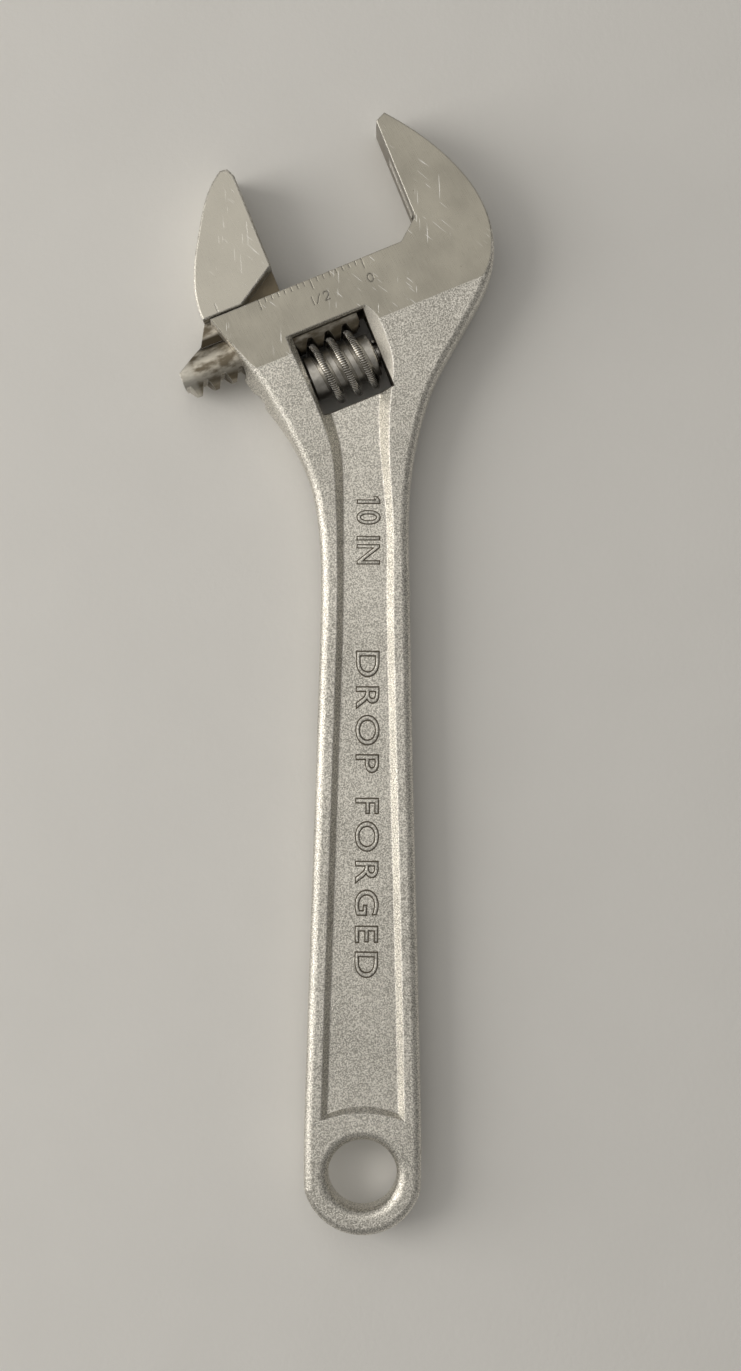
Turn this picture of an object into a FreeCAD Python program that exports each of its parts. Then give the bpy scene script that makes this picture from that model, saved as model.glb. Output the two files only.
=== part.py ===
import FreeCAD, Part
import math
import os

from FreeCAD import Rotation, Vector

# Adjustable wrench, 10 inch size, in millimetres.
#
# The origin is the centre of the hang hole, half way through the handle.
# +Y runs along the handle to the jaws, +X is the side that the fixed jaw
# leans to and +Z is square to the flat faces of the head.
#
# The head is turned on the handle, so it has directions of its own:
# "along" is the way that the movable jaw slides to close, and "up" points
# from the handle to the jaw tips.  head() turns them into the frame above.

# ---- overall sizes ----
HEAD_TURN = 22.5            # angle of the jaw slide to +X, degrees
HEAD_REACH = 208.2          # hang hole centre to the head's own zero, along Y
HEAD_SHIFT = -8.0           # the head's own zero, along X
HEAD_T = 15.9               # ground thickness of the head and jaws
HANDLE_T = 9.5              # thickness over the handle's rims
WEB_T = 6.4                 # thickness of the sunk panel in the handle
DRAFT = 0.35                # how far the forged sides lean in from the middle

# ---- handle ----
END_HALF = 13.75            # half width at the hang hole
NECK_HALF = 10.3            # half width at the narrowest place
NECK_BELOW_HEAD = 72.0      # narrowest place, measured down from HEAD_REACH
HANDLE_EASE = 0.35          # 0 for straight tapering sides, 1 for sides eased at both ends
END_R = 14.2                # outer arc round the hang hole
END_FLANK_Y = -3.6          # where that arc meets the flanks
END_FLANK_IN = 0.15         # how far they have come in by then
HOLE_R = 8.0                # hang hole
HOLE_ROUNDING = 2.3         # rounding of the hang hole's two rims
RIM_W = 3.8                 # outer edge to the panel's edge
PANEL_WALL = 1.5            # width of the panel's sloping wall, seen from above
PANEL_WALL_HEAD = 3.3       # the same at the window, where the wall is higher
PANEL_FOOT_Y = 14.3         # panel's lower end on the centre line
PANEL_FOOT_DROP = 1.8       # how far its corners hang below that
PANEL_TOP_WALL = 0.38       # its upper end's wall, as a share of the wall beside it
EDGE_R = 1.8                # rounding of the handle's outer edges

# ---- head ----
GROUND_END = -14.1          # "up" place where the ground face stops
HANDLE_START = -54.8        # "up" place where the neck reaches HANDLE_T
NECK_BLEND_R = 110.0        # blend between the neck's slope and the handle
SLIDE_LEFT = -30.2          # left end of the slide edge, "along"
FIXED_FACE = 22.3           # fixed jaw's face, "along"
THROAT_W = 5.2              # throat chamfer, "along"
THROAT_H = 4.2              # throat chamfer, "up"

# ---- movable jaw ----
JAW_OPENING = 34.9          # between the faces, as wide as it goes
JAW_GAP = 0.35              # under the jaw, over the slide edge
JAW_DEPTH = 19.2            # from the jaw's face to its heel, "along"
JAW_CHAMFER_W = 9.6         # slanted underside of the jaw, "along"
JAW_CHAMFER_H = 5.8         # the same, "up"
GUIDE_T = 5.0               # guide web between the jaw and the toothed bar
BAR_R = 5.2                 # toothed bar
BAR_UP = -9.2               # its axis
BAR_AHEAD = 14.2            # bar's end inside the head, ahead of the jaw's face
BAR_BEHIND = 28.9           # its other end, behind the jaw's face
BAR_BLANK = 2.0             # least blank length before the first groove
BAR_CORNER = 1.6            # corner cut off the end inside the head
SLIDE_CLEAR = 0.15          # bar and guide web to the body, each side
SLOT_UP = 20.0              # how high the web's slot runs up the fixed jaw's face
EDGE_BREAK = 0.35           # small broken edges on the ground jaws

# ---- worm ----
WORM_LEAD = 4.3             # jaw travel for one turn
WORM_UP = -20.55            # its axis
WORM_R = 7.7                # crest
WORM_CORE_R = 5.2           # core between the threads
WORM_LEFT = -13.9           # left end, "along"
WORM_LEN = 15.9
COLLAR_W = 1.9              # plain collar at each end of the worm
COLLAR_CHAMFER = 0.25
THREAD_CREST_W = 1.6        # thread width where the crest's rounding starts
CREST_ROUND = 0.35          # height of that rounding
THREAD_BASE_W = 3.1         # thread width at the core
THREAD_SINK = 0.4           # how deep the thread is rooted in the core
THREAD_AT_RACK = -2.4       # "along" place of a crest where it faces the bar
MESH_DEPTH = 1.0            # below the crest, where the grooves' slant is the thread's own
TOOTH_CLEAR = 0.1           # thread crest to the flanks of the bar's grooves
TOOTH_FLANK = 0.45          # how far those flanks spread for each mm of depth
TOOTH_ROOT_GAP = 0.85       # thread crest to the bottom of the grooves
WINDOW_SIDE_GAP = 0.35      # worm to the window's left wall
SPRING_SPACE = 1.3          # worm to the window's right wall
WORM_ROOM = 1.5             # worm to the window's lower wall
WINDOW_TOP = -10.8          # upper wall of the window

# ---- inch scale on the upper face ----
SCALE_ZERO = 7.1            # "along" place of its 0
TICK_STEP = 25.4 / 16
TICKS = 17
TICKS_TO_HALF = 8           # ticks from one long one to the next
SHORT_TICK = 1.2
LONG_TICK = 2.5
DIGIT_H = 2.0
DIGIT_W = 1.3
DIGIT_UP = -6.0             # foot of the digits
ZERO_SHIFT = 0.4            # centre of the 0, from its tick
ONE_AT = -1.1               # strokes of the 1/2, from its tick
SLASH_FOOT = -0.4
SLASH_TOP = 0.9
TWO_AT = 1.6
STROKE_W = 0.16
STROKE_DEPTH = 0.1

# ---- worm pin and spring ----
PIN_R = 2.0
PIN_CLEAR = 0.05            # worm's bore to the pin
PIN_SEAT = 9.0              # depth of the blind seat beyond the window
PIN_LEFT = -25.4            # its left end, a little sunk in the body's side
SPRING_WIRE_R = 0.35
SPRING_COIL_R = 2.95        # centre of the wire
SPRING_TURNS = 4.0
SPRING_CLEAR = 0.1          # between the spring's end coil and the worm
SPRING_POCKET = 3.0         # depth of the worm's counterbore
SPRING_POCKET_R = 3.5

HEAD_HALF = HEAD_T / 2
HANDLE_HALF = HANDLE_T / 2
WEB_HALF = WEB_T / 2
NECK_Y = HEAD_REACH - NECK_BELOW_HEAD
WORM_RIGHT = WORM_LEFT + WORM_LEN
WINDOW_LEFT = WORM_LEFT - WINDOW_SIDE_GAP
WINDOW_RIGHT = WORM_RIGHT + SPRING_SPACE
WINDOW_FOOT = WORM_UP - WORM_R - WORM_ROOM
MOVABLE_FACE = FIXED_FACE - JAW_OPENING
BAR_TAIL = MOVABLE_FACE + BAR_AHEAD
BAR_NOSE = MOVABLE_FACE - BAR_BEHIND
GROOVE_ROOT = WORM_UP + WORM_R + TOOTH_ROOT_GAP
BLANK_HALF = 1.6 * HEAD_HALF        # half height of the blank before it is ground
PANEL_CUT_HALF = 1.3 * HEAD_HALF    # half height to which the panel is cut
FAR = 400.0                 # longer than anything here, for half-space cuts
PAST_HEAD = 80.0            # past the head's sides, for cuts along the slide
PAST = 0.1                  # small overshoot of a cutting shape

TURN = math.radians(HEAD_TURN)
ALONG = Vector(math.cos(TURN), math.sin(TURN), 0)
UP = Vector(-math.sin(TURN), math.cos(TURN), 0)
OUT = Vector(0, 0, 1)
HEAD_ZERO = Vector(HEAD_SHIFT, HEAD_REACH, 0)


# ---- small helpers ----
def head(along, up, z=0.0):
    """A point given in the head's own directions."""
    return HEAD_ZERO + ALONG * along + UP * up + OUT * z


def level(points, z):
    """The same points at another height."""
    return [Vector(p.x, p.y, z) for p in points]


def inset(points, amounts):
    """Points moved by the given amounts to the left of their direction of travel."""
    moved = []
    for i, point in enumerate(points):
        before = points[max(i - 1, 0)]
        after = points[min(i + 1, len(points) - 1)]
        travel = (after - before).normalize()
        moved.append(point + Vector(-travel.y, travel.x, 0) * amounts[i])
    return moved


def spline(points):
    """A smooth curve through the points."""
    curve = Part.BSplineCurve()
    curve.interpolate(points)
    return curve.toShape()


def line(a, b):
    return Part.makeLine(a, b)


def arc(a, b, c):
    return Part.Arc(a, b, c).toShape()


def prism(points, depth):
    """A straight-sided plate between z = -depth and z = +depth."""
    loop = level(points, -depth)
    return Part.Face(Part.makePolygon(loop + loop[:1])).extrude(OUT * 2 * depth)


def rod(start_along, end_along, up, radius):
    """A cylinder whose axis runs along the slide."""
    return Part.makeCylinder(radius, end_along - start_along, head(start_along, up), ALONG)


def both_sides(shape):
    """The shape with its mirror image in the middle plane."""
    return shape.fuse(shape.mirror(Vector(0, 0, 0), OUT))


# ---- outline of the forging ----
def handle_half_width(t):
    """Half width of the handle from the hang hole (t = 0) to the neck (t = 1)."""
    eased = (1 + math.cos(math.pi * t)) / 2
    fade = (1 - HANDLE_EASE) * (1 - t) + HANDLE_EASE * eased
    return NECK_HALF + (END_HALF - NECK_HALF) * fade


HANDLE_STEPS = [0.03, 0.2, 0.4, 0.6, 0.8, 1.0]


def handle_side(steps=HANDLE_STEPS, offset=0.0):
    """Right side of the handle at the given steps to the neck, moved in by offset."""
    return [Vector(handle_half_width(t) - offset, t * NECK_Y, 0) for t in steps]


def right_side():
    """From the hang hole up the right side and round the fixed jaw to its tip."""
    flank = Vector(END_HALF - END_FLANK_IN, END_FLANK_Y, 0)
    neck = [head(-5.2, -59.7), head(-0.9, -50.7), head(4.6, -42.0), head(11.2, -33.9)]
    back = [head(19.8, -26.6), head(28.6, -19.7), head(34.9, -12.9), head(37.9, -5.0)]
    jaw = [head(38.0, 3.0), head(36.3, 9.9), head(33.4, 16.6), head(29.6, 22.9), head(25.0, 29.0)]
    return [flank] + handle_side() + neck + back + jaw


def left_side():
    """From the left end of the slide edge down to the hang hole."""
    lobe = [head(SLIDE_LEFT - 1.2, 4.0), head(-29.9, -3.0), head(-28.7, -8.0), head(-28.3, -13.0)]
    pin_end = [head(-27.2, -18.5), head(-25.9, -23.5), head(-24.3, -29.5), head(-23.3, -36.0)]
    neck = [head(-23.2, -43.0), head(-24.8, -51.6), head(-27.2, -59.3)]
    flank = Vector(END_FLANK_IN - END_HALF, END_FLANK_Y, 0)
    handle = [Vector(-p.x, p.y, 0) for p in reversed(handle_side())]
    return lobe + pin_end + neck + handle + [flank]


# how far the left side leans in at the lobe round the pin's end
LOBE_LEAN = [0.5, 0.6, 1.0, 2.2, 2.7, 2.2, 1.2, 0.6]


def outline(z, lean):
    """Closed outline at height z; lean is 0 in the middle plane and 1 at the faces."""
    right = right_side()
    left = left_side()
    left_lean = LOBE_LEAN + [DRAFT] * (len(left) - len(LOBE_LEAN))
    right = level(inset(right, [DRAFT * lean] * len(right)), z)
    left = level(inset(left, [amount * lean for amount in left_lean]), z)
    foot = Vector(0, -END_R + DRAFT * lean, z)
    edges = [spline(right), line(right[-1], left[0]), spline(left), arc(left[-1], foot, right[0])]
    return Part.Wire(edges)


def thickness_slab():
    """Everything between the upper and lower surfaces of the forging."""
    slope = (HEAD_HALF - HANDLE_HALF) / (GROUND_END - HANDLE_START)
    half_turn = math.atan(slope) / 2
    tangent = NECK_BLEND_R * math.tan(half_turn)
    turn = 2 * half_turn
    blend_low = (HANDLE_START - tangent, HANDLE_HALF)
    blend_high = (HANDLE_START + tangent * math.cos(turn), HANDLE_HALF + tangent * math.sin(turn))
    bulge = NECK_BLEND_R * (1 - math.cos(half_turn))
    middle = (HANDLE_START - tangent + NECK_BLEND_R * math.sin(half_turn), HANDLE_HALF + bulge)
    top = (FAR, HANDLE_HALF + (FAR - HANDLE_START) * slope)

    def at(point, side):
        return head(-FAR, point[0], side * point[1])

    edges = [line(at((-FAR, HANDLE_HALF), 1), at(blend_low, 1))]
    edges.append(arc(at(blend_low, 1), at(middle, 1), at(blend_high, 1)))
    edges.append(line(at(blend_high, 1), at(top, 1)))
    edges.append(line(at(top, 1), at(top, -1)))
    edges.append(line(at(top, -1), at(blend_high, -1)))
    edges.append(arc(at(blend_high, -1), at(middle, -1), at(blend_low, -1)))
    edges.append(line(at(blend_low, -1), at((-FAR, HANDLE_HALF), -1)))
    edges.append(line(at((-FAR, HANDLE_HALF), -1), at((-FAR, HANDLE_HALF), 1)))
    return Part.Face(Part.Wire(edges)).extrude(ALONG * 2 * FAR)


def outer_edges(shape):
    """Edges between the forging's sides and its upper and lower surfaces."""
    curved = [edge for edge in shape.Edges if edge.Curve.TypeId != "Part::GeomLine"]
    return [edge for edge in curved if min(abs(v.Z) for v in edge.Vertexes) > 1]


def forging():
    """Blank with leaning sides and rounded edges, thicker at the head than the ground faces."""
    upper = Part.makeLoft([outline(0, 0), outline(BLANK_HALF, BLANK_HALF / HEAD_HALF)], True, True)
    blank = both_sides(upper).removeSplitter()
    blank = blank.common(thickness_slab())
    return blank.makeFillet(EDGE_R, outer_edges(blank))


def ground_slab():
    """Space between the two ground planes."""
    return Part.makeBox(2 * FAR, 2 * FAR, HEAD_T, Vector(-FAR, -FAR, -HEAD_HALF))


def throat():
    """Space between the jaws: slide edge, throat chamfer and fixed jaw's face."""
    foot = [head(-PAST_HEAD, 0), head(FIXED_FACE - THROAT_W, 0), head(FIXED_FACE, THROAT_H)]
    return prism(foot + [head(FIXED_FACE, PAST_HEAD), head(-PAST_HEAD, PAST_HEAD)], HEAD_T)


def panel_outline(z, wall):
    """Outline of the sunk panel at height z, each point moved in by its share of the wall."""
    start = (PANEL_FOOT_Y - PANEL_FOOT_DROP) / NECK_Y
    right = handle_side([start] + HANDLE_STEPS[1:], RIM_W)
    foot_wall = wall(right[0])
    left = [Vector(-p.x, p.y, 0) for p in reversed(right)]
    right += [head(-7.5, -55.0), head(-3.9, -44.4), head(-1.2, -37.5), head(2.0, -30.9)]
    right += [head(5.0, -25.0), head(5.7, -18.5), head(5.6, -14.3), head(4.1, -10.3)]
    neck = [head(-15.6, -10.3), head(-15.2, -20.0), head(-15.0, -30.0), head(-15.5, -37.0)]
    left = neck + [head(-18.0, -46.0), head(-21.2, -54.8)] + left
    right = inset(right, [wall(p) for p in right])
    left = inset(left, [wall(p) for p in left])
    up_in = UP * -(wall(left[0]) * PANEL_TOP_WALL)
    right[-1] = right[-1] + up_in
    left[0] = left[0] + up_in
    foot = Vector(0, PANEL_FOOT_Y + foot_wall, z)
    right[0].y += foot_wall
    left[-1].y += foot_wall
    right = level(right, z)
    left = level(left, z)
    edges = [spline(right), line(right[-1], left[0]), spline(left)]
    edges.append(arc(left[-1], foot, right[0]))
    return Part.Wire(edges)


def panel_cutter():
    """Space over the sunk panel on the upper side, with sloping walls."""
    def up_share(point):
        """0 on the handle, 1 at the window."""
        above = (point - HEAD_ZERO).dot(UP) - HANDLE_START
        return min(max(above / (WINDOW_TOP - HANDLE_START), 0.0), 1.0)

    rim_height = HANDLE_HALF - WEB_HALF

    def wall_low(point):
        return PANEL_WALL + (PANEL_WALL_HEAD - PANEL_WALL) * up_share(point)

    def wall_high(point):
        share = up_share(point)
        surface = HANDLE_HALF + (HEAD_HALF - HANDLE_HALF) * share
        reach = (PANEL_CUT_HALF - WEB_HALF) / max(surface - WEB_HALF, rim_height)
        return wall_low(point) * (1 - reach)

    low = panel_outline(WEB_HALF, wall_low)
    return Part.makeLoft([low, panel_outline(PANEL_CUT_HALF, wall_high)], True, True)


def hang_hole():
    """Straight bore with a rounded rim on both sides."""
    flat = HANDLE_HALF - HOLE_ROUNDING
    r = HOLE_ROUNDING
    corner = math.sqrt(0.5)
    edges = [line(Vector(0, 0, 0), Vector(HOLE_R, 0, 0)), line(Vector(HOLE_R, 0, 0), Vector(HOLE_R, 0, flat))]
    middle = Vector(HOLE_R + r * (1 - corner), 0, flat + r * corner)
    top = Vector(HOLE_R + r, 0, HANDLE_HALF)
    edges.append(arc(Vector(HOLE_R, 0, flat), middle, top))
    edges.append(line(top, Vector(HOLE_R + r, 0, HEAD_T)))
    edges.append(line(Vector(HOLE_R + r, 0, HEAD_T), Vector(0, 0, HEAD_T)))
    edges.append(line(Vector(0, 0, HEAD_T), Vector(0, 0, 0)))
    half = Part.Face(Part.Wire(edges)).revolve(Vector(0, 0, 0), OUT, 360)
    return both_sides(half)


def window():
    """Opening that holds the worm, through the head."""
    corners = [head(WINDOW_LEFT, WINDOW_FOOT), head(WINDOW_RIGHT, WINDOW_FOOT)]
    corners += [head(WINDOW_RIGHT, WINDOW_TOP), head(WINDOW_LEFT, WINDOW_TOP)]
    return prism(corners, HEAD_T)


def keyhole():
    """Round channel for the toothed bar and the slot for its guide web."""
    bore = rod(-PAST_HEAD, PAST_HEAD, BAR_UP, BAR_R + SLIDE_CLEAR)
    end = FIXED_FACE + SLIDE_CLEAR
    corners = [head(-PAST_HEAD, BAR_UP), head(end, BAR_UP), head(end, SLOT_UP), head(-PAST_HEAD, SLOT_UP)]
    return bore.fuse(prism(corners, GUIDE_T / 2 + SLIDE_CLEAR))


def stroke(a, b):
    """A shallow straight cut from a to b in the upper face; a and b are (along, up)."""
    start = head(a[0], a[1])
    travel = head(b[0], b[1]) - start
    across = OUT.cross(travel).normalize() * (STROKE_W / 2)
    corners = [start - across, start + travel - across, start + travel + across, start + across]
    loop = level(corners, HEAD_HALF - STROKE_DEPTH)
    return Part.Face(Part.makePolygon(loop + loop[:1])).extrude(OUT * 2 * STROKE_DEPTH)


def strokes(points):
    """Cuts from each point to the next."""
    return [stroke(a, b) for a, b in zip(points, points[1:])]


def digit_two(left):
    """A bow drawn with short straight cuts, then the slanted stem and the foot."""
    r = DIGIT_W / 2
    centre_up = DIGIT_UP + DIGIT_H - r
    bow = [(left + r + r * math.cos(t), centre_up + r * math.sin(t))
           for t in [math.radians(angle) for angle in range(170, -50, -30)]]
    return strokes(bow + [(left, DIGIT_UP), (left + DIGIT_W, DIGIT_UP)])


def digit_zero(centre):
    """An oval drawn with short straight cuts."""
    angles = [math.radians(angle) for angle in range(0, 361, 30)]
    middle = DIGIT_UP + DIGIT_H / 2
    return strokes([(centre + DIGIT_W / 2 * math.cos(t), middle + DIGIT_H / 2 * math.sin(t))
                    for t in angles])


def inch_scale():
    """Ticks every sixteenth of an inch down from the slide edge, marked 0 and 1/2."""
    cuts = []
    for i in range(TICKS):
        along = SCALE_ZERO - i * TICK_STEP
        length = LONG_TICK if i % TICKS_TO_HALF == 0 else SHORT_TICK
        cuts.append(stroke((along, STROKE_W), (along, -length)))
    half = SCALE_ZERO - TICKS_TO_HALF * TICK_STEP
    top = DIGIT_UP + DIGIT_H
    cuts += digit_zero(SCALE_ZERO + ZERO_SHIFT)
    cuts.append(stroke((half + ONE_AT, DIGIT_UP), (half + ONE_AT, top)))
    cuts.append(stroke((half + SLASH_FOOT, DIGIT_UP), (half + SLASH_TOP, top)))
    cuts += digit_two(half + TWO_AT)
    return cuts


def body():
    """Handle, head and fixed jaw: one forging with its machined faces."""
    shape = forging().common(ground_slab())
    shape = shape.cut(throat())
    shape = shape.cut(both_sides(panel_cutter()))
    shape = shape.cut(hang_hole())
    shape = shape.cut(window())
    shape = shape.cut(keyhole())
    shape = shape.cut(rod(-PAST_HEAD, WINDOW_RIGHT + PIN_SEAT, WORM_UP, PIN_R))
    return shape.cut(inch_scale())


# ---- movable jaw ----
def jaw(behind, up):
    """A point of the movable jaw, given by how far it lies behind the jaw's face."""
    return head(MOVABLE_FACE - behind, up)


def jaw_plate():
    """The movable jaw itself, between the ground planes."""
    heel = jaw(JAW_DEPTH, JAW_GAP)
    toe = jaw(JAW_CHAMFER_W, JAW_GAP)
    knee = jaw(0, JAW_GAP + JAW_CHAMFER_H)
    tip_in = jaw(0, 28.5)
    tip = jaw(0.9, 30.4)
    tip_out = jaw(2.6, 30.7)
    back = [tip_out, jaw(6.6, 27.6), jaw(12.4, 19.6), jaw(16.6, 12.2), jaw(18.9, 5.4), heel]
    edges = [line(heel, toe), line(toe, knee), line(knee, tip_in), line(tip_in, tip)]
    edges += [line(tip, tip_out), spline(back)]
    face = Part.Face(Part.Wire(edges))
    plate = face.extrude(OUT * HEAD_T)
    plate.translate(OUT * -HEAD_HALF)
    rims = [e for e in plate.Edges if abs(abs(e.CenterOfMass.z) - HEAD_HALF) < 0.01]
    return plate.makeChamfer(EDGE_BREAK, rims)


def guide_web():
    """Thin web that carries the jaw on the toothed bar."""
    left = [jaw(18.4, JAW_GAP + 3), jaw(19.3, JAW_GAP), jaw(22.0, -4.2), jaw(26.0, -6.7)]
    foot = [jaw(26.0, BAR_UP), jaw(0.1, BAR_UP)]
    right = [jaw(0.1, JAW_GAP + JAW_CHAMFER_H - 0.3), jaw(3.1, JAW_GAP + JAW_CHAMFER_H + 1)]
    return prism(left + foot + right, GUIDE_T / 2)


def groove(along):
    """One slanted groove across the underside of the toothed bar."""
    slope = math.degrees(math.atan(WORM_LEAD / (2 * math.pi * (WORM_R - MESH_DEPTH))))
    drop = GROOVE_ROOT - (BAR_UP - 2 * BAR_R)
    root_half = THREAD_CREST_W / 2 + TOOTH_CLEAR - TOOTH_FLANK * TOOTH_ROOT_GAP
    mouth_half = root_half + TOOTH_FLANK * drop
    section = [Vector(-root_half, 0, -HEAD_T), Vector(root_half, 0, -HEAD_T)]
    section += [Vector(mouth_half, -drop, -HEAD_T), Vector(-mouth_half, -drop, -HEAD_T)]
    cutter = Part.Face(Part.makePolygon(section + section[:1])).extrude(OUT * 2 * HEAD_T)
    cutter.rotate(Vector(0, 0, 0), Vector(0, 1, 0), slope)
    cutter.rotate(Vector(0, 0, 0), OUT, HEAD_TURN)
    cutter.translate(head(along, GROOVE_ROOT))
    return cutter


def toothed_bar():
    """Round bar with rack grooves cut in its underside."""
    bar = rod(BAR_NOSE, BAR_TAIL, BAR_UP, BAR_R)
    past_nose = BAR_BEHIND + PAST
    slant = [jaw(19.3, -2.5), jaw(22.0, -4.2), jaw(past_nose, -8.5), jaw(past_nose, 0)]
    bar = bar.cut(prism(slant, HEAD_T))
    tail = head(BAR_TAIL, BAR_UP - BAR_R)
    corner = [tail + UP * BAR_CORNER, tail - ALONG * BAR_CORNER, tail - UP * PAST, tail + ALONG * PAST]
    bar = bar.cut(prism(corner, HEAD_T))
    ahead = math.floor((BAR_TAIL - BAR_BLANK - THREAD_AT_RACK) / WORM_LEAD)
    along = THREAD_AT_RACK + ahead * WORM_LEAD
    while along > BAR_NOSE - WORM_LEAD / 2:
        bar = bar.cut(groove(along))
        along -= WORM_LEAD
    return bar


def index_mark():
    """Mark on the jaw that stands at the scale's 0 when the jaws are shut."""
    along = SCALE_ZERO - JAW_OPENING
    return stroke((along, JAW_GAP - PAST), (along, JAW_GAP + LONG_TICK))


def movable_jaw():
    """Jaw, guide web and toothed bar, one forging."""
    shape = jaw_plate().fuse([guide_web(), toothed_bar()]).removeSplitter()
    return shape.cut(index_mark())


# ---- worm, pin and spring ----
def worm():
    """Knurled adjusting screw with one right-hand thread."""
    core = Part.makeCylinder(WORM_CORE_R, WORM_LEN)
    rims = [edge for edge in core.Edges if edge.Curve.TypeId == "Part::GeomCircle"]
    core = core.makeChamfer(COLLAR_CHAMFER, rims)
    length = WORM_LEN - 2 * COLLAR_W
    sunk = WORM_CORE_R - THREAD_SINK
    shoulder = WORM_R - CREST_ROUND
    taper = (THREAD_BASE_W - THREAD_CREST_W) / (shoulder - WORM_CORE_R)
    sunk_w = THREAD_BASE_W + taper * THREAD_SINK
    helix = Part.makeHelix(WORM_LEAD, length, sunk)
    low_root = Vector(sunk, 0, -sunk_w / 2)
    low_crest = Vector(shoulder, 0, -THREAD_CREST_W / 2)
    high_crest = Vector(shoulder, 0, THREAD_CREST_W / 2)
    high_root = Vector(sunk, 0, sunk_w / 2)
    section = [line(low_root, low_crest), arc(low_crest, Vector(WORM_R, 0, 0), high_crest)]
    section += [line(high_crest, high_root), line(high_root, low_root)]
    thread = Part.Wire(helix.Edges).makePipeShell([Part.Wire(section)], True, True)
    thread.translate(OUT * COLLAR_W)
    shape = core.fuse(thread)
    shape = shape.cut(Part.makeCylinder(PIN_R + PIN_CLEAR, WORM_LEN))
    pocket = Part.makeCylinder(SPRING_POCKET_R, SPRING_POCKET, Vector(0, 0, WORM_LEN - SPRING_POCKET))
    shape = shape.cut(pocket)
    # turn the thread so that a crest faces the bar at THREAD_AT_RACK
    to_crest = (THREAD_AT_RACK - WORM_LEFT - COLLAR_W) / WORM_LEAD
    shape.rotate(Vector(0, 0, 0), OUT, -360 * to_crest)
    shape.Placement = along_axis(WORM_LEFT, WORM_UP).multiply(shape.Placement)
    return shape


def along_axis(along, up):
    """Puts a shape drawn on +Z, with +X as its mark, onto the slide's direction."""
    return FreeCAD.Placement(head(along, up), Rotation(UP, OUT, ALONG, "ZXY"))


def worm_pin():
    """Plain pin that the worm turns on."""
    return rod(PIN_LEFT, WINDOW_RIGHT + PIN_SEAT, WORM_UP, PIN_R)


def worm_spring():
    """Small coil spring that presses the worm to the left."""
    start = WORM_RIGHT - SPRING_POCKET + SPRING_WIRE_R + SPRING_CLEAR
    end = WINDOW_RIGHT - SPRING_WIRE_R
    helix = Part.makeHelix((end - start) / SPRING_TURNS, end - start, SPRING_COIL_R)
    ring = Part.Wire(Part.makeCircle(SPRING_WIRE_R, Vector(SPRING_COIL_R, 0, 0), Vector(0, 1, 0)))
    coil = Part.Wire(helix.Edges).makePipeShell([ring], True, True)
    coil.Placement = along_axis(start, WORM_UP)
    return coil


PIECES = {
    "body": body,
    "movable_jaw": movable_jaw,
    "worm": worm,
    "worm_pin": worm_pin,
    "worm_spring": worm_spring,
}

if __name__ == "__main__":
    os.makedirs("parts", exist_ok=True)
    for name, make in PIECES.items():
        shape = make()
        print(name, shape.ShapeType, shape.isValid(), len(shape.Solids), round(shape.Volume, 2))
        shape.exportStep("parts/" + name + ".step")
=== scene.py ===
import math

import bmesh
import bpy
import numpy as np
from mathutils import Matrix, Vector


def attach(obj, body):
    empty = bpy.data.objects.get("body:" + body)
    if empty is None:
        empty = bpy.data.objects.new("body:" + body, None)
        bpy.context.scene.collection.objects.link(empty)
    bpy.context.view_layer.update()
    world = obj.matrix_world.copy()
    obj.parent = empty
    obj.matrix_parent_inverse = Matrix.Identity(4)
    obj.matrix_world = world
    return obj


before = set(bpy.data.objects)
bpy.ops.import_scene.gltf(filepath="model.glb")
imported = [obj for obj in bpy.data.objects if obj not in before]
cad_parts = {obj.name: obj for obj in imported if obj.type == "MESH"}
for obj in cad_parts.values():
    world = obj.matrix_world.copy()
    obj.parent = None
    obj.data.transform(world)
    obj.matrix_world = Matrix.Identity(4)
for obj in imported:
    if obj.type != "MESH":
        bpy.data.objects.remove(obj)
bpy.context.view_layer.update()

# Adjustable wrench.  Metres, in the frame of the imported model: the origin is the
# centre of the hang hole, +Y runs along the handle to the jaws and +Z faces up.
# The head is turned on the handle.  "along" is the way the sliding jaw closes
# and "up" points from the handle to the jaw tips.

MM = 0.001
HEAD_TURN = math.radians(22.5)
HEAD_ZERO = Vector((-8.0, 208.2, 0.0)) * MM
ALONG = Vector((math.cos(HEAD_TURN), math.sin(HEAD_TURN), 0.0))
UP = Vector((-math.sin(HEAD_TURN), math.cos(HEAD_TURN), 0.0))
HEAD_HALF = 7.95 * MM        # half thickness of the ground head
WEB_HALF = 3.2 * MM          # half thickness of the sunk panel
GROUND_END = -14.1 * MM      # "up" place where grinding stops
FIXED_FACE = 22.3 * MM       # "along" place of the fixed jaw's face
SLIDING_FACE = -12.6 * MM    # "along" place of the sliding jaw's face
JAW_CHAMFER_W = 9.6 * MM     # slanted underside of the sliding jaw, "along"
JAW_CHAMFER_H = 5.8 * MM     # the same, "up"
JAW_GAP = 0.35 * MM          # under the sliding jaw
WINDOW = ((-14.35, 3.38), (-29.9, -10.7))   # the worm's window, "along" and "up", mm
WORM_UP = -20.55 * MM        # the worm's axis
WORM_CREST = 7.7 * MM        # its crest radius
BAR_UP = -9.2 * MM           # the toothed bar's axis
BORE_R = 5.4 * MM            # the bar's channel
SCALE_FOOT = -7.0 * MM       # lower end of the scale's digits, "up"
NOSE_HIGHLIGHT_EDGE = -38.5 * MM     # "along" place where the painted highlight on the bar's nose starts
KNURLS = 84                  # fine serrations in one turn of the worm's crest
SLOT_HALF = 2.7 * MM         # half width of the slot that the jaw's web slides in
SLOT_END = 22.55 * MM        # "along" place where the slot ends
GUIDE_HALF = 2.54 * MM       # just outside half the thickness of the jaw's web


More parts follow.
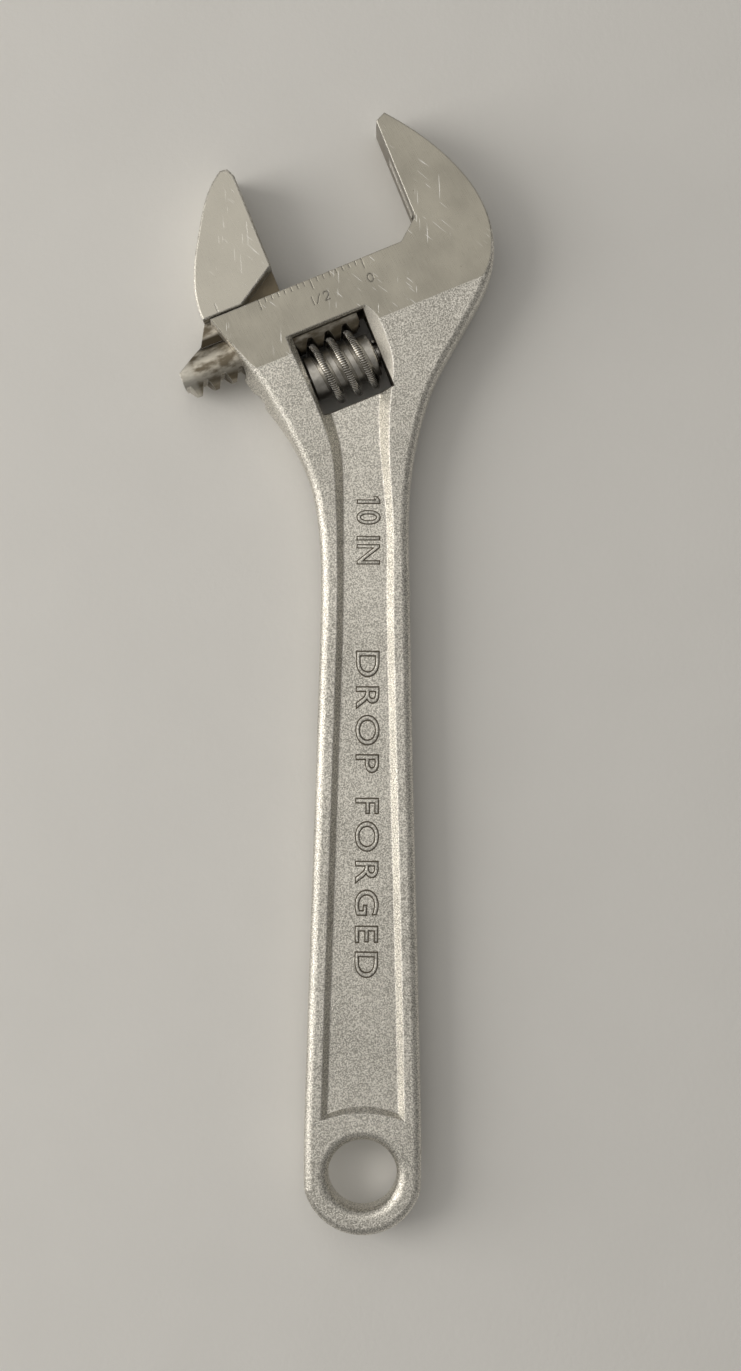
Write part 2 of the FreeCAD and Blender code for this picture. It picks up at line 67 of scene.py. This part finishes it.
# ---- materials ----
class Recipe:
    """A material being made: each method adds a node and gives back its output."""

    def __init__(self, name, metallic, roughness):
        self.material = bpy.data.materials.new(name)
        self.material.use_nodes = True
        self.tree = self.material.node_tree
        self.shader = self.tree.nodes["Principled BSDF"]
        self.shader.inputs["Metallic"].default_value = metallic
        self.shader.inputs["Roughness"].default_value = roughness
        self.place = self.add("ShaderNodeTexCoord").outputs["Object"]
        parts = self.add("ShaderNodeSeparateXYZ", Vector=self.place)
        self.height = self.math("ABSOLUTE", parts.outputs["Z"])
        self.side = parts.outputs["Z"]

    def add(self, kind, settings=None, **inputs):
        made = self.tree.nodes.new(kind)
        for name, value in (settings or {}).items():
            setattr(made, name, value)
        for name, value in inputs.items():
            self.put(value, made.inputs[name])
        return made

    def put(self, value, socket):
        if isinstance(value, bpy.types.NodeSocket):
            self.tree.links.new(value, socket)
        else:
            socket.default_value = value

    def math(self, operation, a, b=0.0):
        made = self.add("ShaderNodeMath", {"operation": operation})
        self.put(a, made.inputs[0])
        self.put(b, made.inputs[1])
        return made.outputs[0]

    def along_axis(self, axis):
        """Distance from the head's zero along a direction."""
        made = self.add("ShaderNodeVectorMath", {"operation": "DOT_PRODUCT"})
        self.put(self.place, made.inputs[0])
        self.put(tuple(axis), made.inputs[1])
        return self.math("SUBTRACT", made.outputs["Value"], HEAD_ZERO.dot(axis))

    def reach(self, a, b):
        """Distance from an axis, from two distances at right angles to it."""
        squares = self.math("ADD", self.math("MULTIPLY", a, a), self.math("MULTIPLY", b, b))
        return self.math("SQRT", squares)

    def facing(self, axis):
        """How squarely the surface faces a direction, from -1 to 1."""
        made = self.add("ShaderNodeVectorMath", {"operation": "DOT_PRODUCT"})
        self.put(self.add("ShaderNodeNewGeometry").outputs["Normal"], made.inputs[0])
        self.put(tuple(axis), made.inputs[1])
        return made.outputs["Value"]

    def step(self, value, low, high):
        """0 below low and 1 above high, smooth between; low may be the larger."""
        made = self.add("ShaderNodeMapRange", {"interpolation_type": "SMOOTHSTEP"})
        self.put(value, made.inputs["Value"])
        made.inputs["From Min"].default_value = min(low, high)
        made.inputs["From Max"].default_value = max(low, high)
        made.inputs["To Min"].default_value = 0.0 if low < high else 1.0
        made.inputs["To Max"].default_value = 1.0 if low < high else 0.0
        return made.outputs["Result"]

    def between(self, value, low, high, soft=0.05 * MM):
        """1 where the value lies between low and high."""
        rise = self.step(value, low - soft, low + soft)
        fall = self.step(value, high + soft, high - soft)
        return self.math("MULTIPLY", rise, fall)

    def both(self, *masks):
        """1 where every mask is 1."""
        total = masks[0]
        for mask in masks[1:]:
            total = self.math("MULTIPLY", total, mask)
        return total

    def either(self, *masks):
        """1 where any mask is 1."""
        total = masks[0]
        for mask in masks[1:]:
            total = self.math("MAXIMUM", total, mask)
        return total

    def noise(self, size, detail=2.0, stretch=(1, 1, 1), turn=0.0, rough=0.5):
        """Noise whose spots are about size metres, longer where stretch is large."""
        scale = tuple(1.0 / (size * s) for s in stretch)
        mapped = self.add("ShaderNodeMapping", Vector=self.place, Rotation=(0, 0, -turn))
        sized = self.add("ShaderNodeVectorMath", {"operation": "MULTIPLY"})
        self.put(mapped.outputs["Vector"], sized.inputs[0])
        self.put(scale, sized.inputs[1])
        made = self.add("ShaderNodeTexNoise", Vector=sized.outputs[0], Scale=1.0,
                        Detail=detail, Roughness=rough)
        return made.outputs["Fac"]

    def colour(self, factor, a, b):
        made = self.add("ShaderNodeMix", {"data_type": "RGBA"})
        self.put(factor, made.inputs[0])
        self.put(a, made.inputs[6])
        self.put(b, made.inputs[7])
        return made.outputs[2]

    def blend(self, factor, a, b):
        made = self.add("ShaderNodeMix", {"data_type": "FLOAT"})
        self.put(factor, made.inputs[0])
        self.put(a, made.inputs[2])
        self.put(b, made.inputs[3])
        return made.outputs[0]

    def bump(self, height, depth, base=None):
        """Bump of the given depth in metres, on top of another normal."""
        made = self.add("ShaderNodeBump", Height=height, Distance=depth, Strength=1.0)
        if base is not None:
            self.put(base, made.inputs["Normal"])
        return made.outputs["Normal"]

    def finish(self, colour, roughness, normal):
        self.put(colour, self.shader.inputs["Base Color"])
        self.put(roughness, self.shader.inputs["Roughness"])
        self.put(normal, self.shader.inputs["Normal"])
        return self.material


BLASTED = (1.0, 0.97, 0.90, 1)
BLASTED_DARK = (0.38, 0.365, 0.33, 1)
GROUND = (0.49, 0.465, 0.40, 1)
GROUND_DARK = (0.34, 0.322, 0.276, 1)
JAW_LIGHT = (0.69, 0.665, 0.60, 1)
OIL = (0.055, 0.045, 0.030, 1)
OLD_OIL = (0.16, 0.135, 0.095, 1)
OLD_STEEL = (0.66, 0.62, 0.54, 1)
BROWN_OIL = (0.20, 0.17, 0.125, 1)
BRIGHT = (0.93, 0.92, 0.90, 1)
MARK_DARK = (0.12, 0.11, 0.10, 1)
WORM_DULL = (0.74, 0.725, 0.69, 1)
WORM_LIGHT = (0.95, 0.935, 0.90, 1)
PIN_GREY = (0.45, 0.44, 0.42, 1)
SPRING_GREY = (0.5, 0.49, 0.47, 1)
PALE = (0.80, 0.79, 0.77, 1)
PALER = (0.84, 0.83, 0.81, 1)


def blasted_surface(r):
    """Colour, roughness and grain height of the sand-blasted chrome."""
    grain = r.noise(0.33 * MM, 2.0, rough=0.6)
    fine = r.noise(0.18 * MM, 1.0)
    cloud = r.noise(14 * MM, 3.0)
    cloudy = r.math("MULTIPLY", r.step(cloud, 0.3, 0.7), 0.2)
    tone = r.math("ADD", r.step(grain, 0.38, 0.62), cloudy)
    colour = r.colour(r.math("MULTIPLY", tone, 0.83), BLASTED_DARK, BLASTED)
    roughness = r.blend(r.step(fine, 0.35, 0.65), 0.30, 0.50)
    height = r.math("ADD", grain, r.math("MULTIPLY", fine, 0.4))
    return colour, roughness, height


def ground_surface(r):
    """Colour, roughness and grain height of the ground flats, with fine lines and scratches."""
    lines = r.noise(0.11 * MM, 2.0, (1, 30, 1), HEAD_TURN + 0.12)
    cloud = r.noise(9 * MM, 4.0)
    scuff_a = r.step(r.noise(0.35 * MM, 1.0, (1, 16, 1), HEAD_TURN + 0.5), 0.70, 0.74)
    scuff_b = r.step(r.noise(0.3 * MM, 1.0, (1, 22, 1), HEAD_TURN - 0.35), 0.72, 0.76)
    scuffs = r.both(r.either(scuff_a, scuff_b), r.step(r.noise(12 * MM, 1.0), 0.45, 0.6))
    tone = r.math("ADD", r.math("MULTIPLY", lines, 0.55), r.math("MULTIPLY", cloud, 0.6))
    colour = r.colour(r.step(tone, 0.3, 0.85), GROUND_DARK, GROUND)
    colour = r.colour(r.math("MULTIPLY", scuffs, 0.8), colour, BRIGHT)
    pits = r.both(r.step(r.noise(0.9 * MM, 2.0), 0.72, 0.77),
                  r.step(r.noise(10 * MM, 1.0), 0.52, 0.62))
    colour = r.colour(pits, colour, OLD_OIL)
    roughness = r.blend(r.step(lines, 0.3, 0.7), 0.26, 0.38)
    height = r.math("SUBTRACT", lines, r.math("MULTIPLY", scuffs, 0.8))
    return colour, roughness, height


def edge_wear(r, radius):
    """1 along sharp edges, from how far a rounded normal turns from the true one."""
    rounded = r.add("ShaderNodeBevel", {"samples": 4}, Radius=radius).outputs["Normal"]
    true = r.add("ShaderNodeNewGeometry").outputs["Normal"]
    turned = r.add("ShaderNodeVectorMath", {"operation": "DOT_PRODUCT"})
    r.put(rounded, turned.inputs[0])
    r.put(true, turned.inputs[1])
    return rounded, r.step(turned.outputs["Value"], 0.97, 0.80)


def forged_body():
    """Blasted chrome with ground flats; the window, the channel and the slot are darkened with
    old oil and painted shade.
    """
    r = Recipe("forged chrome", 1.0, 0.4)
    along = r.along_axis(ALONG)
    up = r.along_axis(UP)
    ground = r.step(r.height, HEAD_HALF - 0.03 * MM, HEAD_HALF - 0.01 * MM)
    slide = r.both(r.step(up, -0.06 * MM, -0.02 * MM),
                   r.step(along, FIXED_FACE + 0.06 * MM, FIXED_FACE + 0.02 * MM))
    (left, right), (low, high) = WINDOW
    window = r.both(r.between(along, left * MM, right * MM), r.between(up, low * MM, high * MM))
    from_bar = r.math("SUBTRACT", up, BAR_UP)
    bar_radius = r.reach(from_bar, r.height)
    channel = r.step(bar_radius, BORE_R + 0.03 * MM, BORE_R)
    slot = r.both(r.step(r.height, SLOT_HALF + 0.02 * MM, SLOT_HALF - 0.02 * MM),
                  r.between(up, -6 * MM, 6 * MM),
                  r.step(along, SLOT_END + 0.05 * MM, SLOT_END - 0.05 * MM))
    # old oil and painted shade: the window, the channel and the slot are darkened where shade
    # falls in them
    oil_and_shade_patch = r.step(r.noise(1.6 * MM, 4.0), 0.25, 0.6)
    oil_and_painted_shade = r.math("MULTIPLY", r.either(window, channel, slot), r.blend(oil_and_shade_patch, 0.75, 1.0))
    mark = r.both(r.between(r.side, HEAD_HALF - 0.2 * MM, HEAD_HALF - 0.05 * MM, 0.02 * MM),
                  r.between(up, SCALE_FOOT, -0.05 * MM))

    rough_colour, rough_rough, rough_height = blasted_surface(r)
    flat_colour, flat_rough, flat_height = ground_surface(r)
    machined = r.either(ground, slide)
    rounded, worn = edge_wear(r, 0.45 * MM)
    # the sloping wall on the right of the window: a painted highlight, lighter blasted colour as
    # if lit by the lamp, and rougher
    painted_light_flank = r.both(r.step(r.facing(ALONG), -0.55, -0.68),
                   r.between(up, -60 * MM, -6 * MM, 5 * MM),
                   r.between(r.height, WEB_HALF + 0.1 * MM, HEAD_HALF),
                   r.step(along, 2 * MM, 3.5 * MM), r.step(along, 12 * MM, 10 * MM))
    rough_colour = r.colour(r.math("MULTIPLY", painted_light_flank, 0.7), rough_colour, BLASTED)
    rough_rough = r.blend(painted_light_flank, rough_rough, 0.62)
    # brown oil stain and painted shade on the fixed jaw's face
    jaw_face = r.both(r.between(along, FIXED_FACE - 0.04 * MM, FIXED_FACE + 0.04 * MM, 0.02 * MM),
                      r.step(up, 2 * MM, 6 * MM))
    face_stain_shade_patch = r.step(r.noise(2.5 * MM, 3.0), 0.2, 0.6)
    stain_and_painted_shade = r.both(jaw_face, r.blend(face_stain_shade_patch, 0.55, 0.9))
    flat_colour = r.colour(stain_and_painted_shade, flat_colour, BROWN_OIL)
    colour = r.colour(machined, rough_colour, flat_colour)
    on_scale = r.both(ground, r.between(up, SCALE_FOOT, -0.12 * MM),
                      r.step(r.side, 0.0, 1.0 * MM))
    worn = r.math("MULTIPLY", worn, r.math("SUBTRACT", 1.0, on_scale))
    colour = r.colour(r.math("MULTIPLY", worn, 0.55), colour, BRIGHT)
    colour = r.colour(r.math("MULTIPLY", mark, 0.8), colour, MARK_DARK)
    colour = r.colour(oil_and_painted_shade, colour, r.colour(oil_and_shade_patch, OLD_OIL, OIL))
    roughness = r.blend(machined, rough_rough, flat_rough)
    roughness = r.blend(oil_and_painted_shade, roughness, 0.55)
    unmachined = r.math("SUBTRACT", 1.0, machined)
    normal = r.bump(r.math("MULTIPLY", rough_height, unmachined), 0.10 * MM, rounded)
    normal = r.bump(r.math("MULTIPLY", flat_height, machined), 0.012 * MM, normal)
    return r.finish(colour, roughness, normal)


def ground_jaw():
    """Ground steel jaw on a grimy web and toothed bar, with painted shade at the web's foot,
    under the jaw and on the teeth, and a painted highlight on the bar's nose.
    """
    r = Recipe("ground jaw", 1.0, 0.35)
    along = r.along_axis(ALONG)
    up = r.along_axis(UP)
    ground = r.step(r.height, HEAD_HALF - 0.03 * MM, HEAD_HALF - 0.01 * MM)
    face = r.step(along, SLIDING_FACE - 0.08 * MM, SLIDING_FACE - 0.03 * MM)
    below = r.step(up, 0.40 * MM, 0.30 * MM)
    from_toe = r.math("SUBTRACT", along, SLIDING_FACE - JAW_CHAMFER_W)
    chamfer = r.math("ADD", r.math("MULTIPLY", from_toe, JAW_CHAMFER_H / JAW_CHAMFER_W), JAW_GAP)
    under_chamfer = r.step(r.math("SUBTRACT", up, chamfer), 0.04 * MM, -0.04 * MM)
    web = r.both(under_chamfer,
                 r.step(r.height, GUIDE_HALF + 0.02 * MM, GUIDE_HALF - 0.02 * MM))
    hidden = r.either(below, web)
    patch = r.step(r.noise(1.8 * MM, 5.0, (2, 1, 1), HEAD_TURN), 0.36, 0.64)
    rough_colour, rough_rough, rough_height = blasted_surface(r)
    flat_colour, flat_rough, flat_height = ground_surface(r)
    machined = r.either(ground, face)
    rounded, worn = edge_wear(r, 0.3 * MM)
    colour = r.colour(machined, rough_colour, r.colour(0.55, flat_colour, JAW_LIGHT))
    oily_and_shaded = r.colour(patch, OLD_STEEL, BROWN_OIL)
    # old oil and painted shade on the bar's toothed underside
    teeth = r.step(up, -11.2 * MM, -12.8 * MM)
    oily_and_shaded = r.colour(r.math("MULTIPLY", teeth, 0.75), oily_and_shaded, OLD_OIL)
    # painted shade: a dark band where the web meets the bar
    web_crease_shade = r.between(up, -5.2 * MM, -2.6 * MM, 0.6 * MM)
    oily_and_shaded = r.colour(web_crease_shade, oily_and_shaded, OIL)
    # brown oil and painted shade on the web under the jaw's slanted underside
    web_under_jaw_oil_and_shade = r.math("MULTIPLY", web, r.step(up, 0.0, 0.5 * MM))
    oily_and_shaded = r.colour(web_under_jaw_oil_and_shade, oily_and_shaded, r.colour(patch, OLD_OIL, BROWN_OIL))
    colour = r.colour(hidden, colour, oily_and_shaded)
    # painted highlight on the bar's nose
    nose_highlight = r.step(along, NOSE_HIGHLIGHT_EDGE + 0.6 * MM, NOSE_HIGHLIGHT_EDGE - 0.6 * MM)
    colour = r.colour(r.math("MULTIPLY", nose_highlight, 0.7), colour, JAW_LIGHT)
    colour = r.colour(r.math("MULTIPLY", worn, 0.6), colour, BRIGHT)
    roughness = r.blend(machined, rough_rough, flat_rough)
    roughness = r.blend(hidden, roughness, r.blend(patch, 0.36, 0.5))
    unmachined = r.math("SUBTRACT", 1.0, machined)
    normal = r.bump(r.math("MULTIPLY", rough_height, unmachined), 0.05 * MM, rounded)
    normal = r.bump(r.math("MULTIPLY", flat_height, machined), 0.012 * MM, normal)
    return r.finish(colour, roughness, normal)


def knurled_worm():
    """Polished steel with old oil in its valleys; fine serrations cross the crest, with old oil
    and painted shade in their gaps.

    The serrations follow the sine of KNURLS times the angle round the worm's axis.
    """
    r = Recipe("knurled steel", 1.0, 0.25)
    up = r.math("SUBTRACT", r.along_axis(UP), WORM_UP)
    radius = r.reach(up, r.height)
    turn = r.math("ARCTAN2", r.side, up)
    crest = r.step(radius, WORM_CREST - 0.45 * MM, WORM_CREST - 0.3 * MM)
    valley = r.step(radius, WORM_CREST - 1.2 * MM, WORM_CREST - 2.3 * MM)
    teeth = r.math("SINE", r.math("MULTIPLY", turn, float(KNURLS)))
    teeth = r.math("MULTIPLY", r.step(teeth, -0.4, 0.9), crest)
    patch = r.step(r.noise(1.0 * MM, 3.0), 0.35, 0.7)
    rounded, worn = edge_wear(r, 0.12 * MM)
    colour = r.colour(patch, WORM_DULL, WORM_LIGHT)
    colour = r.colour(r.math("MULTIPLY", valley, 0.42), colour, OLD_OIL)
    # old oil and painted shade in the gaps between the serrations
    gap_oil_and_shade = r.math("SUBTRACT", crest, teeth)
    colour = r.colour(r.math("MULTIPLY", gap_oil_and_shade, 0.9), colour, OLD_OIL)
    roughness = r.blend(patch, 0.12, 0.20)
    roughness = r.blend(valley, roughness, 0.42)
    normal = r.bump(teeth, 0.16 * MM, rounded)
    return r.finish(colour, roughness, normal)


def plain_steel(name, colour, rough):
    """Turned or drawn steel for the pin and the spring, with oil stains."""
    r = Recipe(name, 1.0, rough)
    patch = r.step(r.noise(0.8 * MM, 3.0), 0.35, 0.65)
    tone = r.colour(patch, colour, OLD_OIL)
    drawn = r.bump(r.noise(0.15 * MM), 0.01 * MM)
    return r.finish(tone, r.blend(patch, rough, rough + 0.2), drawn)


def dress(node, material):
    """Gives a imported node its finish."""
    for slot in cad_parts[node].material_slots:
        slot.material = material


body_finish = forged_body()
dress("body", body_finish)
dress("movable_jaw", ground_jaw())
dress("worm", knurled_worm())
dress("worm_pin", plain_steel("pin steel", PIN_GREY, 0.3))
dress("worm_spring", plain_steel("spring steel", SPRING_GREY, 0.28))


# ---- raised words in the handle's panel ----
WORD_H = 7.4 * MM            # type size
WORD_X = 0.35 * MM           # middle of the words, across the handle
OUTLINE_W = 0.22 * MM        # dark line round each letter, old oil and painted shade
OUTLINE_LIFT = 0.02 * MM     # how far the dark line stands off the panel
LETTER_LIFT = 0.10 * MM      # middle of the raised letters, above the panel
LETTER_THIN = -0.10 * MM     # taken off all round before the bevel puts some back
LETTER_HALF = 0.09 * MM      # half the letters' depth
LETTER_BEVEL = 0.05 * MM     # their rounded edge
FLAG_CORNERS = ((0.02, 0.0), (-0.11, -0.085), (-0.11, -0.175), (0.02, -0.10))
FLAG_OUTWARD = ((0, 1), (-1, 1), (-1, -1), (0, -1))   # the way each corner is widened
UPRIGHT_W = 0.11             # the figure 1's upright ends before this, in type sizes


def evaluated_mesh(shape):
    """Mesh of a curve or text object, which is then removed."""
    bpy.context.scene.collection.objects.link(shape)
    bpy.context.view_layer.update()
    mesh = bpy.data.meshes.new_from_object(
        shape.evaluated_get(bpy.context.evaluated_depsgraph_get()))
    bpy.data.objects.remove(shape)
    return mesh


def add_flag(mesh, widen, depth, bevel):
    """Adds the short slanted flag that the type's figure 1 lacks.

    The figure is the first in its word.  The flag is a flat shape with four corners,
    given in type sizes from the top left corner of the upright, and widened alike.
    """
    points = np.empty(len(mesh.vertices) * 3)
    mesh.vertices.foreach_get("co", points)
    points = points.reshape(-1, 3)
    left = points[:, 0].min() + widen
    upright = points[points[:, 0] < left + UPRIGHT_W * WORD_H]
    top = upright[:, 1].max() - widen
    corners = np.array(FLAG_CORNERS) * WORD_H + (left, top)
    corners += np.array(FLAG_OUTWARD) * widen
    curve = bpy.data.curves.new("flag", "CURVE")
    curve.dimensions = "2D"
    curve.fill_mode = "BOTH"
    curve.extrude = depth
    curve.bevel_depth = bevel
    curve.bevel_resolution = 1
    spline = curve.splines.new("POLY")
    spline.points.add(len(corners) - 1)
    spline.points.foreach_set("co", np.pad(corners, ((0, 0), (0, 2))).ravel())
    spline.use_cyclic_u = True
    flag = evaluated_mesh(bpy.data.objects.new("flag", curve))
    joined = bmesh.new()
    joined.from_mesh(mesh)
    joined.from_mesh(flag)
    joined.to_mesh(mesh)
    joined.free()


def letters(name, words, spacing, widen, depth, bevel):
    """Mesh of flat letters, widened by the given amount all round, that read along +X."""
    curve = bpy.data.curves.new(name, "FONT")
    curve.body = words
    curve.size = WORD_H
    curve.offset = widen
    curve.extrude = depth
    curve.bevel_depth = bevel
    curve.bevel_resolution = 1
    curve.space_character = spacing
    curve.align_x = "LEFT"
    curve.align_y = "CENTER"
    mesh = evaluated_mesh(bpy.data.objects.new(name + "_text", curve))
    if words.startswith("1"):
        add_flag(mesh, widen, depth, bevel)
    return mesh


def word_piece(name, mesh, top_y, stretch, lift, finish):
    """Puts letters on the panel, stretched along the handle, to read down it from top_y."""
    mesh.transform(Matrix.Diagonal((stretch, 1.0, 1.0, 1.0)))
    place = Matrix.Translation((WORD_X, top_y, WEB_HALF + lift))
    mesh.transform(place @ Matrix.Rotation(-math.pi / 2, 4, "Z"))
    mesh.materials.clear()
    mesh.materials.append(finish)
    piece = bpy.data.objects.new(name, mesh)
    bpy.context.scene.collection.objects.link(piece)
    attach(piece, "frame")


def outline_oil_and_shade_finish():
    """Old oil and painted shade round the foot of the raised letters."""
    r = Recipe("oil_and_painted_shade", 0.4, 0.6)
    tone = r.colour(r.noise(0.5 * MM, 3.0), OIL, OLD_OIL)
    return r.finish(tone, 0.6, r.bump(r.noise(0.3 * MM), 0.02 * MM))


oil_and_painted_shade = outline_oil_and_shade_finish()
for name, words, top_y, stretch, spacing in (
        ("size_words", "10 IN", 157.2 * MM, 0.93, 1.05),
        ("forging_words", "DROP FORGED", 121.5 * MM, 1.22, 1.32)):
    raised = letters(name, words, spacing, LETTER_THIN, LETTER_HALF, LETTER_BEVEL)
    word_piece(name, raised, top_y, stretch, LETTER_LIFT, body_finish)
    # each letter's dark outline is old oil and painted shade at its foot
    outline = letters(name + "_outline", words, spacing, OUTLINE_W, 0.0, 0.0)
    word_piece(name + "_outline", outline, top_y, stretch, OUTLINE_LIFT, oil_and_painted_shade)


# ---- floor, light and camera ----
FLOOR = 3.0                  # half the floor's width
FLOOR_GAP = 0.05 * MM        # hair's breadth kept between the floor and the wrench
LAMP_WARM = (1.0, 0.965, 0.90)
ROOM_TONE = (0.86, 0.835, 0.785, 1)
ROOM_STRENGTH = 0.24
LENS = 59.4                  # focal length, mm
CAMERA_ROLL = 0.0049         # small turn of the view, as a slope
CAMERA_PLACE = (1.3 * MM, 113.0 * MM, 526.0 * MM)


def studio():
    """Level pale floor under the head's lower face."""
    r = Recipe("pale floor", 0.0, 0.85)
    tone = r.colour(r.noise(20 * MM, 3.0), PALE, PALER)
    surface = r.finish(tone, 0.85, r.bump(r.noise(1.2 * MM, 2.0), 0.05 * MM))
    mesh = bpy.data.meshes.new("floor")
    corners = [(x, y, -HEAD_HALF - FLOOR_GAP) for x, y in
               ((-FLOOR, -FLOOR), (FLOOR, -FLOOR), (FLOOR, FLOOR), (-FLOOR, FLOOR))]
    mesh.from_pydata(corners, [], [(0, 1, 2, 3)])
    floor = bpy.data.objects.new("floor", mesh)
    bpy.context.scene.collection.objects.link(floor)
    floor.data.materials.append(surface)


def soft_light(name, place, target, size, watts):
    """A large rectangular lamp that faces its target."""
    lamp = bpy.data.lights.new(name, "AREA")
    lamp.shape = "RECTANGLE"
    lamp.size, lamp.size_y = size
    lamp.energy = watts
    lamp.color = LAMP_WARM
    holder = bpy.data.objects.new(name, lamp)
    bpy.context.scene.collection.objects.link(holder)
    holder.location = place
    holder.rotation_mode = "QUATERNION"
    towards = Vector(target) - Vector(place)
    holder.rotation_quaternion = towards.to_track_quat("-Z", "Y")


def lights():
    middle = (0.0, 0.12, 0.0)
    soft_light("left_window", (-0.9, 0.16, 0.45), middle, (0.6, 1.2), 6.1)
    soft_light("ceiling", (-0.5, 0.6, 1.8), middle, (2.4, 2.4), 11.0)
    world = bpy.data.worlds.new("studio")
    world.use_nodes = True
    background = world.node_tree.nodes["Background"]
    background.inputs["Color"].default_value = ROOM_TONE
    background.inputs["Strength"].default_value = ROOM_STRENGTH
    bpy.context.scene.world = world


def camera():
    """Straight above the wrench, half a metre up, the handle's end at the view's foot."""
    data = bpy.data.cameras.new("camera")
    data.lens = LENS
    data.sensor_width = 36.0
    data.clip_start = 0.01
    holder = bpy.data.objects.new("camera", data)
    bpy.context.scene.collection.objects.link(holder)
    right = Vector((1.0, CAMERA_ROLL, 0.0)).normalized()
    ahead = Vector((-CAMERA_ROLL, 1.0, 0.0)).normalized()
    turn = Matrix((right, ahead, Vector((0, 0, 1)))).transposed().to_4x4()
    holder.matrix_world = Matrix.Translation(CAMERA_PLACE) @ turn
    bpy.context.scene.camera = holder


studio()
lights()
camera()

bpy.context.scene.view_settings.view_transform = "Standard"
